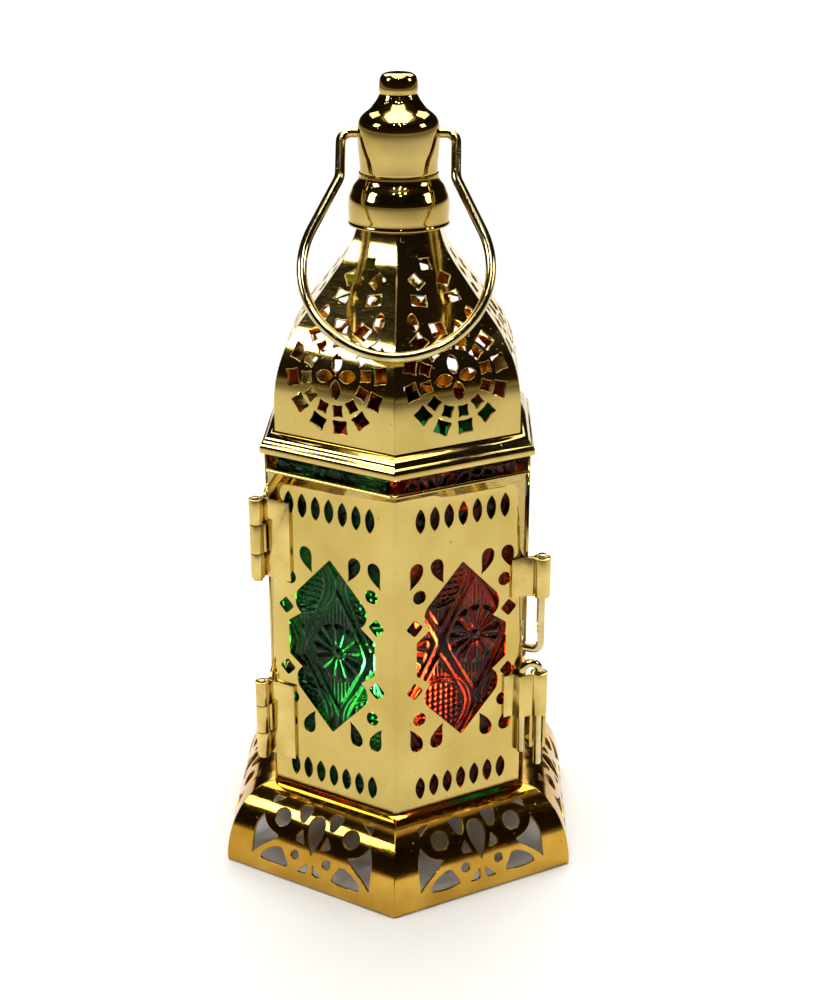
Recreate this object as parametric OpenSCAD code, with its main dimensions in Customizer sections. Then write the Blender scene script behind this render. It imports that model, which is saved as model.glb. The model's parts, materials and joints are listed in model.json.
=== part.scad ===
/* [Body] */
// Radius to the corners of the hexagonal body
body_r = 45; // [42:1:56]
// Height at which the walls stand on the base
body_z = 24; // [20:1:34]
// Height of the door above its lower clearance
door_h = 104; // [98:1:130]
// Thickness of the brass sheet
sheet_t = 0.8; // [0.6:0.1:1]
// Height of the open slot between door and roof band
vent_h = 4.4; // [3.8:0.2:8]

/* [Base] */
// How far the base spreads beyond the body, at its corners
flare = 16; // [12:1:22]
// Width of the turned-in foot
foot_w = 4; // [3:0.5:6]

/* [Roof] */
// Height of the roof band with its bevel
band_h = 6; // [5:0.5:8]
// Straight part of each roof petal
petal_rise = 11; // [8:0.5:14]
// Radius of the roof's shoulder
shoulder_r = 38.6; // [34:0.2:42]
// Angle that the shoulder turns through
shoulder_turn = 36.5; // [32:0.5:40]
// Radius of the hollow curve below the collar
hollow_r = 33; // [26:1:36]
// Turn of the pierced rosette from upright
rosette_turn = 6; // [0:1:15]

/* [Finial] */
// Outer radius of the collar
collar_r = 14.8; // [14.6:0.1:18]
// Outer radius of the finial's drum
drum_r = 11.9; // [11:0.1:13]
// Radius of the knob
knob_r = 5.5; // [4.5:0.1:6.5]

/* [Handle] */
// Diameter of the handle wire
wire_d = 3; // [2.4:0.1:3.8]
// Half the distance between the upright legs
leg_x = 16.5; // [16:0.1:20]
// Radius of the round grip
grip_r = 26.5; // [22:0.5:32]
// Length from pivot to the lowest point
handle_l = 67.5; // [62:0.5:76]

/* [Hinges] */
// Length of each hinge
hinge_l = 25; // [20:0.5:30]
// Radius of the hinge barrel
barrel_r = 2.1; // [1.9:0.1:2.3]
// Radius of the hinge pin
pin_r = 1; // [0.8:0.05:1.2]
// Width of each hinge leaf
leaf_w = 7.5; // [5:0.5:10]
// Height of the upper hinge's centre above the base of the body
upper_hinge_z = 83; // [70:1:88]
// Height of the lower hinge's centre above the base of the body
lower_hinge_z = 23; // [15:1:30]

/* [Latch] */
// Diameter of the latch wire
latch_d = 2.5; // [2:0.1:3.2]
// Wall of the rolled tubes
tube_t = 1.3; // [0.9:0.1:1.5]
// Height of the upper clip above the base of the body
upper_clip_z = 65; // [60:1:72]
// Height of the lower clip above the base of the body
lower_clip_z = 25.5; // [22:0.5:30]
// Height of the hook's tip above the base of the body
hook_z = 47; // [44:0.5:50]

/* [Glass] */
// Thickness of the pressed glass
glass_t = 2.6; // [2:0.1:3.5]

/* [Candle] */
// Radius of the tealight's cup
tealight_r = 19; // [16:0.5:23]
// Height of the tealight's cup
tealight_h = 16; // [12:0.5:20]

/* [Hidden] */
$fn = 48;

// Clearances between pieces that move past each other, and between soldered pieces
run_gap = 0.08;
pane_gap = 0.05;
move_gap = 0.8;
seam_gap = 0.1;

// The hexagon: apothem and half side of the body
body_a = body_r * cos(30);
body_u = body_r / 2;
wall_top = body_z + move_gap + door_h + vent_h + band_h * 0.3;
band_z = body_z + move_gap + door_h + vent_h;
door_z = body_z + move_gap;
pane_u = body_u - 3.6;
pane_z = door_z + 2.2;
pane_h = band_z - 1.6 - pane_z;
face_mid = door_z + door_h / 2 - 1;
door_left = body_u - 1;
door_right = body_u - 1.5;
// Walls: front edge beside the hinges, front edge beside the latch, and the rear seam
hinge_edge = body_u - 1;
latch_edge = body_u - 0.3;
seam_edge = body_u - sheet_t * tan(30) - seam_gap / 2;
hem_w = 1.4;

// Base profile, a quarter ellipse from the body's foot down to the ground
flare_a = flare * cos(30);
skirt_a = body_a + 0.9;

// Roof profile, measured along the sheet from the top of the band
petal_z = band_z + band_h * 0.6;
petal_a = body_a - 3.2;
shoulder_z = petal_z + petal_rise;
shoulder_l = shoulder_r * shoulder_turn * PI / 180;
slope_a = petal_a - shoulder_r * (1 - cos(shoulder_turn));
slope_z = shoulder_z + shoulder_r * sin(shoulder_turn);
neck_turn = 10;
neck_a = (collar_r - sheet_t - 1) * cos(30);
hollow_a = neck_a + hollow_r * (cos(neck_turn) - cos(shoulder_turn));
slope_l = (slope_a - hollow_a) / sin(shoulder_turn);
hollow_z = slope_z + slope_l * cos(shoulder_turn);
neck_z = hollow_z + hollow_r * (sin(shoulder_turn) - sin(neck_turn));
hollow_l = hollow_r * (shoulder_turn - neck_turn) * PI / 180;
petal_l = petal_rise + shoulder_l + slope_l + hollow_l;

// Collar and finial heights
collar_z = neck_z - 3;
waist_r = drum_r - 0.6;
waist_z = collar_z + 15;
pivot_z = waist_z + 11;
knob_z = waist_z + 21.5;
finial_top = waist_z + 28;
wire_r = wire_d / 2;
rod_r = 2;

// The handle hangs in front of the roof, just clear of its ridges
handle_lean = 1 + max([
    for (s = [petal_rise : 1 : petal_l])
        let (p = petal_point(s, 0), r = p[0] / cos(30), h = pivot_z - p[1], d = norm([r, h]))
        d < handle_l + wire_d ? atan2(r, h) + asin((wire_r + 0.3) / d) : 0
]);

// Hinge axis, outside the left corner of the door, and latch axis outside the right one
hinge_out = barrel_r + 1.1;
hinge_x = -body_u - hinge_out / 2;
hinge_y = -body_a - hinge_out * cos(30);
leaf_t = 1;
leaf_gap = 1.5;
knuckle_gap = 0.2;
latch_r = latch_d / 2;
tube_r = latch_r + run_gap + tube_t;
clip_t = 0.8;
tube_u = body_u + 3;
tube_y = -body_a - tube_r - 0.43;
clip_h = 12.5;
strap_h = 14;

floor_z = body_z;
cup_t = 0.5;
cup_z = floor_z + sheet_t;
tealight_z = cup_z + cup_t;
tealight_t = 0.4;

// Faces are numbered from the front right one, anticlockwise from above. In a face's own
// frame +X runs along the face, -Y points outwards.
module on_face(k) {
    rotate([0, 0, 30 + 60 * k])
        children();
}

// A point on face k, u along it and out beyond its outer surface
function face_point(k, u, out) =
    let (a = 30 + 60 * k, y = -body_a - out)
    [u * cos(a) - y * sin(a), u * sin(a) + y * cos(a)];

// The sixth of the plan that belongs to one face
module sector(reach) {
    polygon([[0, 0], [-reach * tan(30), -reach], [reach * tan(30), -reach]]);
}

// Marquise opening: two arcs that meet in points
module marquise(w, h) {
    r = (w * w + h * h) / (4 * w);
    intersection() {
        translate([r - w / 2, 0])
            circle(r);
        translate([w / 2 - r, 0])
            circle(r);
    }
}

// Drop with a round head below its tip, which leans sideways by lean
function drop(w, h, lean) = [
    for (t = [0 : 24 : 336])
        [w / 2 * sin(t) * pow(sin(t / 2), 1.3) + lean * pow((1 + cos(t)) / 2, 2), h / 2 * cos(t)]
];

// Square opening with slightly hollow sides
tile_sag = 0.2;
function tile(w, h) = [
    [-w / 2, -h / 2], [0, -h / 2 + tile_sag], [w / 2, -h / 2], [w / 2 - tile_sag, 0],
    [w / 2, h / 2], [0, h / 2 - tile_sag], [-w / 2, h / 2], [-w / 2 + tile_sag, 0]
];

// Window outline: pointed top and bottom, round lobes, and a square middle
window_h = 28.4;
lobe_r = 4.9;
lobe_x = 7.8;
lobe_y = 13.1;
block_u = 15.3;
block_z = 5.4;
function window_side(sx, sy) = [
    for (t = [44 : -14.3 : -57])
        [sx * (lobe_x + lobe_r * cos(t)), sy * (lobe_y + lobe_r * sin(t))]
];
function flip(list) = [for (i = [len(list) - 1 : -1 : 0]) list[i]];

module window_shape() {
    polygon(concat(
        [[0, window_h]], window_side(1, 1), [[block_u, block_z], [block_u, -block_z]],
        flip(window_side(1, -1)), [[0, -window_h]],
        window_side(-1, -1), [[-block_u, -block_z], [-block_u, block_z]], flip(window_side(-1, 1))
    ));
}

// Everything that is pierced through one body face, about the face's middle
row_z = door_h / 2 - 8.5;
row_pitch = 4.7;
module face_piercing() {
    window_shape();
    for (side = [-1, 1]) {
        for (i = [-3 : 3])
            translate([i * row_pitch, side * row_z])
                marquise(3.2, 7.6);
        for (mirrored = [-1, 1]) {
            translate([mirrored * 14.4, side * 19.9])
                circle(2.1);
            translate([mirrored * 16, side * 10.3])
                rotate(45)
                    square(3.9, center = true);
            scale([mirrored, -side, 1])
                translate([15.6, -26.7])
                    polygon(drop(5.8, 7.8, 1.6));
            scale([mirrored, -side, 1])
                translate([8.3, -26.9])
                    polygon(drop(5.8, 7.8, -1.6));
        }
    }
}

module face_cut(k) {
    on_face(k)
        translate([0, -body_a + 3, face_mid])
            rotate([90, 0, 0])
                linear_extrude(6)
                    face_piercing();
}

// Sheet folded over faces k and k + 1, from left to right as seen from outside
module folded_sheet(k, left, right, h) {
    in_u = body_u - sheet_t * tan(30);
    linear_extrude(h)
        polygon([
            face_point(k, -left, 0), face_point(k, body_u, 0), face_point(k + 1, right, 0),
            face_point(k + 1, right, -sheet_t), face_point(k, in_u, -sheet_t), face_point(k, -left, -sheet_t)
        ]);
}

// Folded strip of a given width lying against the inside or outside of face k
module strip(k, u0, u1, out0, out1, h) {
    linear_extrude(h)
        polygon([
            face_point(k, u0, out0), face_point(k, u1, out0),
            face_point(k, u1, out1), face_point(k, u0, out1)
        ]);
}

// Base: six seamed panels
skirt_steps = 12;
function skirt_curve(a0, height, inset) = [
    for (i = [0 : skirt_steps])
        let (t = 90 * i / skirt_steps)
        [a0 + (flare_a - inset) * sin(t), (height - inset) * cos(t)]
];
function skirt_reach(z) = skirt_a + flare_a * sqrt(1 - pow(z / body_z, 2));
function skirt_slope(z) =
    atan2(z / pow(body_z, 2), (skirt_reach(z) - skirt_a) / pow(flare_a, 2));

module skirt_profile() {
    foot_in = skirt_a + flare_a - foot_w;
    polygon(concat(
        [[skirt_a - 5, body_z]], skirt_curve(skirt_a, body_z, 0),
        [[foot_in, 0], [foot_in, sheet_t], [skirt_a + flare_a - sheet_t, sheet_t]],
        flip([for (p = skirt_curve(skirt_a, body_z, sheet_t)) if (p[1] > 1.5 * sheet_t) p]),
        [[skirt_a - 5, body_z - sheet_t]]
    ));
}

// A hole punched square through the curved base at height z
module skirt_punch(u, z) {
    translate([u, -skirt_reach(z), z])
        rotate([90 - skirt_slope(z), 0, 0])
            translate([0, 0, -3])
                linear_extrude(6)
                    children();
}

// Openings in a base panel, drawn on its upright projection, right half
function skirt_openings() = [
    [[2.6, 22.7], [8.6, 22.7], [6.6, 19.4], [5.6, 18.7], [4.5, 19]],
    [[14.3, 22.7], [18.4, 22.7], [18.5, 20.9]],
    [[4.6, 17.2], [3, 13.4], [7, 14.1]],
    [[19.6, 18.2], [17.2, 14.9], [12.6, 13.4], [13.6, 12.3], [17.5, 9.6], [19.3, 8.2], [21.6, 5.8], [21.6, 14.2]],
    [[8.1, 4.9], [13, 4.3], [18.4, 4.9], [18, 6.6], [15.5, 9], [12.2, 10.3], [10.4, 10.1], [9.4, 8], [8.2, 6.5]],
    [[0.9, 8.2], [0.9, 4.4], [4.5, 4.6]]
];

module skirt_piercing() {
    for (side = [-1, 1]) {
        for (outline = skirt_openings())
            translate([0, -skirt_a + 2, 0])
                rotate([90, 0, 0])
                    linear_extrude(flare_a + 4)
                        polygon([for (p = outline) [side * p[0], p[1] / 24 * body_z]]);
        skirt_punch(side * 12.6, body_z * 0.78)
            circle(2.9);
        skirt_punch(side * 5.8, body_z * 0.4)
            circle(1.5);
    }
    skirt_punch(0, body_z * 0.69)
        scale([1, -1, 1])
            polygon(drop(8, 12.4, 0));
}

module skirt_panel(k) {
    color("goldenrod")
        on_face(k)
            difference() {
                intersection() {
                    translate([body_r + flare, 0, 0])
                        rotate([90, 0, -90])
                            linear_extrude(2 * (body_r + flare))
                                skirt_profile();
                    linear_extrude(body_z)
                        sector(body_a + flare + 5);
                }
                skirt_piercing();
            }
}

module floor_plate() {
    color("silver")
        translate([0, 0, floor_z])
            difference() {
                rotate(30)
                    cylinder(sheet_t, r = body_r - 4, $fn = 6);
                cylinder(4, r = rod_r, center = true);
            }
}

module candle_cup() {
    color("silver")
        translate([0, 0, cup_z])
            difference() {
                cylinder(8, r = tealight_r + 1 + cup_t);
                translate([0, 0, cup_t])
                    cylinder(8, r = tealight_r + 1);
                cylinder(4, r = rod_r, center = true);
            }
}

module cup_rivet() {
    color("gray")
        translate([0, 0, floor_z - 1])
            union() {
                cylinder(1 + sheet_t + cup_t, r = rod_r);
                cylinder(1, r = rod_r + 1.5);
            }
}

// Fixed walls
module left_wall() {
    color("gold")
        difference() {
            translate([0, 0, body_z])
                union() {
                    folded_sheet(3, seam_edge, hinge_edge, wall_top - body_z);
                    strip(4, hinge_edge - hem_w, hinge_edge - sheet_t, -2 * sheet_t, -sheet_t, wall_top - body_z);
                }
            face_cut(3);
            face_cut(4);
        }
}

module right_wall() {
    notch_h = latch_d + 1.2;
    color("gold")
        difference() {
            translate([0, 0, body_z])
                union() {
                    folded_sheet(1, latch_edge, seam_edge, wall_top - body_z);
                    strip(1, sheet_t - latch_edge, hem_w - latch_edge, -2 * sheet_t, -sheet_t, wall_top - body_z);
                }
            face_cut(1);
            face_cut(2);
            translate([0, 0, body_z + hook_z - notch_h / 2])
                strip(1, -body_u - 1, -body_u + 6.5, -3, 2, notch_h);
        }
}

module door_panel() {
    lip_r = 0.7;
    color("gold")
        difference() {
            translate([0, 0, door_z])
                union() {
                    folded_sheet(5, door_left, door_right, door_h);
                    translate([0, 0, door_h - 2 * lip_r])
                        strip(5, -door_left, body_u, 0, lip_r, 2 * lip_r);
                    translate([0, 0, door_h - 2 * lip_r])
                        strip(0, -body_u, door_right, 0, lip_r, 2 * lip_r);
                }
            face_cut(5);
            face_cut(0);
        }
}

// Glass
module pane(k, tint) {
    color(tint)
        translate([0, 0, pane_z])
            strip(k, -pane_u, pane_u, -sheet_t - pane_gap - glass_t, -sheet_t - pane_gap, pane_h);
}

module pane_clips(k) {
    clip_w = 0.5;
    back = pane_gap + glass_t + pane_gap;
    color("goldenrod")
        for (z = [8, pane_h - 12], side = [-1, 1])
            translate([0, 0, pane_z + z])
                linear_extrude(5)
                    polygon([for (p = [
                        [pane_u + 1.1, 0], [pane_u + 1.1, clip_w], [pane_u + 0.1 + clip_w, clip_w],
                        [pane_u + 0.1 + clip_w, back + clip_w], [pane_u - 3, back + clip_w],
                        [pane_u - 3, back], [pane_u + 0.1, back], [pane_u + 0.1, 0]
                    ]) face_point(k, side * p[0], -sheet_t - p[1])]);
}

// Hinges. The door leaf carries the outer knuckles, the wall leaf the middle one.
knuckle = hinge_l * 0.31;

module barrel(z0, h) {
    translate([hinge_x, hinge_y, z0])
        cylinder(h, r = barrel_r);
}

module leaf_plate(u0, u1, z0, h) {
    translate([u0, -body_a - leaf_t, z0])
        cube([u1 - u0, leaf_t, h]);
}

module leaf_bore() {
    translate([hinge_x, hinge_y, -1])
        cylinder(hinge_l + 2, r = pin_r + run_gap);
}

module door_leaf(z) {
    color("khaki")
        on_face(5)
            translate([0, 0, z - hinge_l / 2])
                difference() {
                    union() {
                        leaf_plate(leaf_gap - body_u, leaf_gap - body_u + leaf_w, 0, hinge_l);
                        for (z0 = [0, hinge_l - knuckle]) {
                            barrel(z0, knuckle);
                            leaf_plate(hinge_x, leaf_gap - body_u + 1, z0, knuckle);
                        }
                    }
                    leaf_bore();
                }
}

module wall_leaf(z) {
    color("khaki")
        on_face(4)
            mirror([1, 0, 0])
                translate([0, 0, z - hinge_l / 2])
                    difference() {
                        union() {
                            leaf_plate(leaf_gap - body_u, leaf_gap - body_u + leaf_w, 0, hinge_l);
                            translate([0, 0, knuckle + knuckle_gap]) {
                                barrel(0, hinge_l - 2 * (knuckle + knuckle_gap));
                                leaf_plate(hinge_x, leaf_gap - body_u + 1, 0, hinge_l - 2 * (knuckle + knuckle_gap));
                            }
                        }
                        leaf_bore();
                    }
}

module hinge_pin(z) {
    head_h = 1;
    color("darkgoldenrod")
        on_face(5)
            translate([hinge_x, hinge_y, z - hinge_l / 2 - head_h])
                union() {
                    translate([0, 0, head_h])
                        cylinder(hinge_l + 0.6, r = pin_r);
                    cylinder(head_h - knuckle_gap / 2, r = pin_r + 0.5);
                    translate([0, 0, head_h / 2])
                        cylinder(1, r = pin_r);
                }
}

// Latch clips on the door's right edge, each with a rolled tube for a wire
module rolled_tube(h) {
    translate([tube_u, tube_y, 0])
        difference() {
            cylinder(h, r = tube_r);
            translate([0, 0, -1])
                cylinder(h + 2, r = latch_r + run_gap);
        }
}

module clip_body(h, outline) {
    difference() {
        linear_extrude(h)
            polygon([for (p = outline) [p[0], -body_a - p[1]]]);
        translate([tube_u, tube_y, -1])
            cylinder(h + 2, r = tube_r - 0.3);
    }
}

module upper_latch_clip() {
    color("khaki")
        on_face(0)
            translate([0, 0, body_z + upper_clip_z])
                union() {
                    rolled_tube(clip_h);
                    clip_body(clip_h, [
                        [body_u - 6, 0], [door_right, 0], [tube_u - 1.4, 1.2],
                        [tube_u - 2, 2.6], [door_right - 0.6, clip_t], [body_u - 6, clip_t]
                    ]);
                }
}

strap_out = latch_d + 0.3;
leg_u = body_u - 2;
module lower_latch_clip() {
    color("khaki")
        on_face(0)
            translate([0, 0, body_z + lower_clip_z])
                union() {
                    rolled_tube(strap_h);
                    clip_body(strap_h, [
                        [body_u - 8, 0], [leg_u - latch_r - 0.9, 0], [leg_u - latch_r - 0.3, strap_out],
                        [tube_u - 1.2, strap_out], [tube_u - 1.2, strap_out + clip_t],
                        [leg_u - latch_r - 0.9, strap_out + clip_t], [leg_u - latch_r - 1.7, clip_t],
                        [body_u - 8, clip_t]
                    ]);
                }
}

// Hook: a straight shank in the upper tube, and a foot that turns in behind the door's edge
module upper_latch_hook() {
    bend_r = 2.2;
    foot_l = 3.2;
    shank = upper_clip_z + clip_h + 1 - hook_z;
    color("darkgoldenrod")
        on_face(0)
            translate([tube_u, tube_y, body_z + hook_z])
                rotate([0, 0, 131])
                    union() {
                        translate([0, 0, bend_r])
                            cylinder(shank - bend_r, r = latch_r);
                        translate([bend_r, 0, bend_r])
                            rotate([-90, 0, 0])
                                rotate([0, 0, 90])
                                    rotate_extrude(angle = 90)
                                        translate([bend_r, 0])
                                            circle(latch_r);
                        translate([bend_r, 0, 0])
                            rotate([0, 90, 0])
                                cylinder(foot_l, r = latch_r);
                    }
}

// Hairpin: one leg drops through the lower tube, the other behind the strap
module lower_latch_pin() {
    leg_y = -body_a - latch_r - 0.12;
    span = norm([tube_u - leg_u, tube_y - leg_y]);
    top_z = lower_clip_z + strap_h + 0.6;
    long_l = top_z - 8;
    short_l = top_z - 13.4;
    color("darkgoldenrod")
        on_face(0)
            translate([leg_u, leg_y, body_z + top_z])
                rotate([0, 0, atan2(tube_y - leg_y, tube_u - leg_u)])
                    union() {
                        translate([0, 0, -short_l])
                            cylinder(short_l, r = latch_r);
                        translate([0, 0, -short_l])
                            sphere(latch_r);
                        translate([span, 0, -long_l])
                            cylinder(long_l, r = latch_r);
                        translate([span / 2, 0, 0])
                            rotate([90, 0, 0])
                                rotate_extrude(angle = 180)
                                    translate([span / 2, 0])
                                        circle(latch_r);
                    }
}

// Keeper: an open saddle on the fixed wall, behind the long leg of the hairpin
module latch_keeper() {
    saddle_in = latch_r + 0.4;
    saddle_out = saddle_in + clip_t;
    keeper_h = 11;
    turn = 60;
    // the tube's axis in the frame of face 1
    ax = cos(turn) * tube_u + sin(turn) * tube_y;
    ay = -sin(turn) * tube_u + cos(turn) * tube_y;
    color("khaki")
        on_face(1)
            translate([0, 0, body_z + lower_clip_z - 1 - keeper_h])
                linear_extrude(keeper_h)
                    union() {
                        difference() {
                            translate([ax, ay])
                                circle(saddle_out);
                            translate([ax, ay])
                                circle(saddle_in);
                            translate([ax - 10, ay - 5])
                                square([10, 10]);
                        }
                        polygon([
                            [ax + saddle_in + 0.2, ay], [ax + saddle_out, ay - 0.3],
                            [1.5 - body_u + 5, -body_a - clip_t], [1.5 - body_u + 10, -body_a - clip_t],
                            [1.5 - body_u + 10, -body_a], [1.5 - body_u + 3.6, -body_a]
                        ]);
                    }
}

// Roof band: upright edge with a bevel above it
module roof_band() {
    out_a = body_a + 1.2;
    in_a = body_a + seam_gap;
    top_a = petal_a + 0.9;
    color("gold")
        for (k = [0 : 5])
            on_face(k)
                intersection() {
                    translate([body_r + 10, 0, band_z])
                        rotate([90, 0, -90])
                            linear_extrude(2 * body_r + 20)
                                polygon([
                                    [in_a, 0], [out_a, 0], [out_a, band_h * 0.45], [top_a, band_h],
                                    [petal_a + seam_gap, band_h], [petal_a + seam_gap, band_h - 1], [in_a, band_h * 0.4]
                                ]);
                    translate([0, 0, band_z])
                        linear_extrude(band_h)
                            sector(body_a + 5);
                }
}

// Roof petals
function petal_tilt(s) =
    s < petal_rise ? 0
    : s < petal_rise + shoulder_l ? (s - petal_rise) / shoulder_r * 180 / PI
    : s < petal_rise + shoulder_l + slope_l ? shoulder_turn
    : shoulder_turn - (s - petal_rise - shoulder_l - slope_l) / hollow_r * 180 / PI;

function petal_point(s, inset) =
    let (tilt = petal_tilt(s))
    let (p = s < petal_rise ? [petal_a, petal_z + s]
        : s < petal_rise + shoulder_l
            ? [petal_a - shoulder_r * (1 - cos(tilt)), shoulder_z + shoulder_r * sin(tilt)]
        : s < petal_rise + shoulder_l + slope_l
            ? [slope_a - (s - petal_rise - shoulder_l) * sin(tilt), slope_z + (s - petal_rise - shoulder_l) * cos(tilt)]
        : [hollow_a - hollow_r * (cos(tilt) - cos(shoulder_turn)), hollow_z + hollow_r * (sin(shoulder_turn) - sin(tilt))])
    [p[0] - inset * cos(tilt), p[1] - inset * sin(tilt)];

function petal_stations() = concat(
    [0, petal_rise * 0.999],
    [for (i = [1 : 8]) petal_rise + shoulder_l * i / 8],
    [petal_rise + shoulder_l + slope_l],
    [for (i = [1 : 5]) petal_rise + shoulder_l + slope_l + hollow_l * i / 5]
);

module petal_punch(u, s) {
    tilt = petal_tilt(s);
    p = petal_point(s, 0);
    translate([u, -p[0], p[1]])
        rotate([90 - tilt, 0, 0])
            translate([0, 0, -2.5])
                linear_extrude(5)
                    children();
}

rosette_s = 22.2;
module petal_ring(r, w, h) {
    for (i = [0 : 11]) {
        a = 15 + 30 * i - rosette_turn;
        petal_punch(r * cos(a), rosette_s + r * sin(a))
            rotate(a - 90)
                polygon(tile(w, h));
    }
}

module petal_piercing() {
    petal_ring(9.9, 3.4, 3.6);
    petal_ring(14.7, 4.9, 4.2);
    for (i = [0 : 3]) {
        a = 90 * i + rosette_turn;
        petal_punch(3.9 * cos(a), rosette_s + 3.9 * sin(a))
            rotate(a - 90)
                marquise(3.5, 5.6);
    }
    petal_punch(0, 56.6)
        polygon(tile(3.4, 3.6));
    for (side = [-1, 1]) {
        petal_punch(side * 4.4, 51.6)
            rotate(side * -35)
                polygon(tile(3.6, 4.2));
        petal_punch(side * 5.4, 45.8)
            rotate(side * 12)
                polygon(tile(4.8, 3.4));
        petal_punch(side * 9.4, 39.6)
            rotate(side * 10)
                marquise(3.4, 5.6);
    }
}

module roof_petal(k) {
    stations = petal_stations();
    color("gold")
        on_face(k)
            difference() {
                intersection() {
                    translate([body_r, 0, 0])
                        rotate([90, 0, -90])
                            linear_extrude(2 * body_r)
                                polygon(concat(
                                    [for (s = stations) petal_point(s, 0)],
                                    flip([for (s = stations) petal_point(s, sheet_t)])
                                ));
                    translate([0, 0, petal_z - 1])
                        linear_extrude(petal_l + 5)
                            sector(body_a + 5);
                }
                petal_piercing();
            }
}

// Collar and finial, turned shells
module collar() {
    top = waist_z - collar_z;
    color("gold")
        translate([0, 0, collar_z])
            rotate_extrude()
                polygon([
                    [collar_r - 0.3, 0], [collar_r + 0.3, 0.4], [collar_r, 1.2], [collar_r, 6.6], [collar_r - 0.4, 8],
                    [waist_r + 1.2, top - 2.4], [waist_r + 0.9, top - 1], [waist_r + 0.9, top],
                    [rod_r + 0.2, top], [rod_r + 0.2, top - sheet_t],
                    [waist_r + 0.1, top - sheet_t], [waist_r + 0.3, top - 2.7],
                    [collar_r - 1.2, 7.6], [collar_r - sheet_t, 6.4], [collar_r - sheet_t, 0.6]
                ]);
}

module finial() {
    knob_h = finial_top - knob_z;
    wall = 0.9;
    dome_z = knob_z - waist_z;
    color("gold")
        translate([0, 0, waist_z])
            difference() {
                rotate_extrude()
                    polygon(concat(
                        [[waist_r - wall, 0], [waist_r, 0], [drum_r - 0.2, 3.5], [drum_r, 6.5], [drum_r, 13]],
                        [for (t = [0 : 15 : 60]) [drum_r - 4.2 + 4.2 * cos(t), 13.4 + 5 * sin(t)]],
                        [[knob_r + 1.6, dome_z - 2], [knob_r + 0.5, dome_z - 0.8], [knob_r + 0.15, dome_z + 0.6]],
                        [[knob_r, dome_z + knob_h * 0.6]],
                        [for (t = [0 : 18 : 90])
                            [knob_r - 1.9 + 1.7 * cos(t), dome_z + knob_h * 0.72 + knob_h * 0.28 * sin(t)]],
                        [[0, dome_z + knob_h], [0, dome_z + 4], [rod_r, dome_z + 4], [rod_r, dome_z - 2]],
                        [[knob_r, dome_z - 3], [drum_r - 4, 16], [drum_r - 1.4, 14], [drum_r - wall, 12.5], [drum_r - wall, 6.5]],
                        [[drum_r - 0.2 - wall, 3.5]]
                    ));
                translate([0, 0, pivot_z - waist_z])
                    rotate([0, 90, 0])
                        cylinder(4 * drum_r, r = wire_r + run_gap, center = true);
            }
}

module finial_rod() {
    color("gray")
        translate([0, 0, waist_z - 6])
            cylinder(knob_z - waist_z + 9.5, r = rod_r);
}

module finial_nut() {
    color("gray")
        translate([0, 0, waist_z - sheet_t - 3.2])
            difference() {
                cylinder(3.2, r = 4, $fn = 6);
                translate([0, 0, -1])
                    cylinder(6, r = rod_r);
            }
}

// Bail handle, drawn hanging straight down from its pivot and then leaned forward
module handle_bend(r, from, turn) {
    rotate([0, 0, from])
        rotate_extrude(angle = turn)
            translate([r, 0])
                circle(wire_r);
}

module handle_rod(p, q) {
    translate([p[0], p[1], 0])
        rotate([0, 0, atan2(q[1] - p[1], q[0] - p[0])])
            rotate([0, 90, 0])
                cylinder(norm(q - p), r = wire_r);
}

// Short sleeve that joins two lengths of wire where they meet, a hair proud of both
module handle_joint(p, turn) {
    translate([p[0], p[1], 0])
        rotate([0, 0, turn])
            rotate([0, 90, 0])
                cylinder(1, r = 1.04 * wire_r, center = true);
}

// The legs run straight down from the pivot, bend outwards and meet the round grip tangentially
corner_r = 3;
splay_r = 6;
splay_y = -12.5;
grip_y = grip_r - handle_l;
splay_turn = atan2(grip_y - splay_y, -leg_x - splay_r)
    + acos(-(splay_r + grip_r) / norm([leg_x + splay_r, grip_y - splay_y]));

module half_handle() {
    splay_end = [leg_x + splay_r * (1 - cos(splay_turn)), splay_y - splay_r * sin(splay_turn)];
    grip_start = [grip_r * cos(splay_turn), grip_y + grip_r * sin(splay_turn)];
    handle_joint([leg_x - corner_r, 0], 0);
    handle_joint([leg_x, -corner_r], 90);
    handle_joint([leg_x, splay_y], 90);
    handle_joint(splay_end, splay_turn - 90);
    handle_joint(grip_start, splay_turn - 90);
    handle_rod([drum_r - 2, 0], [leg_x - corner_r, 0]);
    translate([leg_x - corner_r, -corner_r, 0])
        handle_bend(corner_r, 0, 90);
    handle_rod([leg_x, -corner_r], [leg_x, splay_y]);
    translate([leg_x + splay_r, splay_y, 0])
        handle_bend(splay_r, 180, splay_turn);
    handle_rod(splay_end, grip_start);
}

module bail_handle() {
    color("gold")
        translate([0, 0, pivot_z])
            rotate([90 - handle_lean, 0, 0])
                union() {
                    half_handle();
                    mirror([1, 0, 0])
                        half_handle();
                    translate([0, grip_y, 0])
                        handle_bend(grip_r, 180 - splay_turn, 180 + 2 * splay_turn);
                }
}

// Tealight
module tealight_cup() {
    color("gainsboro")
        translate([0, 0, tealight_z])
            rotate_extrude()
                polygon([
                    [0, 0], [tealight_r - 0.8, 0], [tealight_r - 0.1, 0.8], [tealight_r - 0.1, tealight_h],
                    [tealight_r - 0.1 - tealight_t, tealight_h], [tealight_r - 0.1 - tealight_t, 1], [0, 1]
                ]);
}

module tealight_wax() {
    wax_r = tealight_r - 0.1 - tealight_t;
    color("ivory")
        translate([0, 0, tealight_z + 1])
            difference() {
                cylinder(tealight_h - 4, r = wax_r);
                translate([0, 0, -1])
                    cylinder(3, r = 5);
                cylinder(tealight_h, r = 0.8);
            }
}

module wick_sustainer() {
    color("silver")
        translate([0, 0, tealight_z + 1])
            difference() {
                union() {
                    cylinder(0.4, r = 4.9);
                    cylinder(1.9, r = 1.6);
                }
                cylinder(8, r = 0.8, center = true);
            }
}

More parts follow.
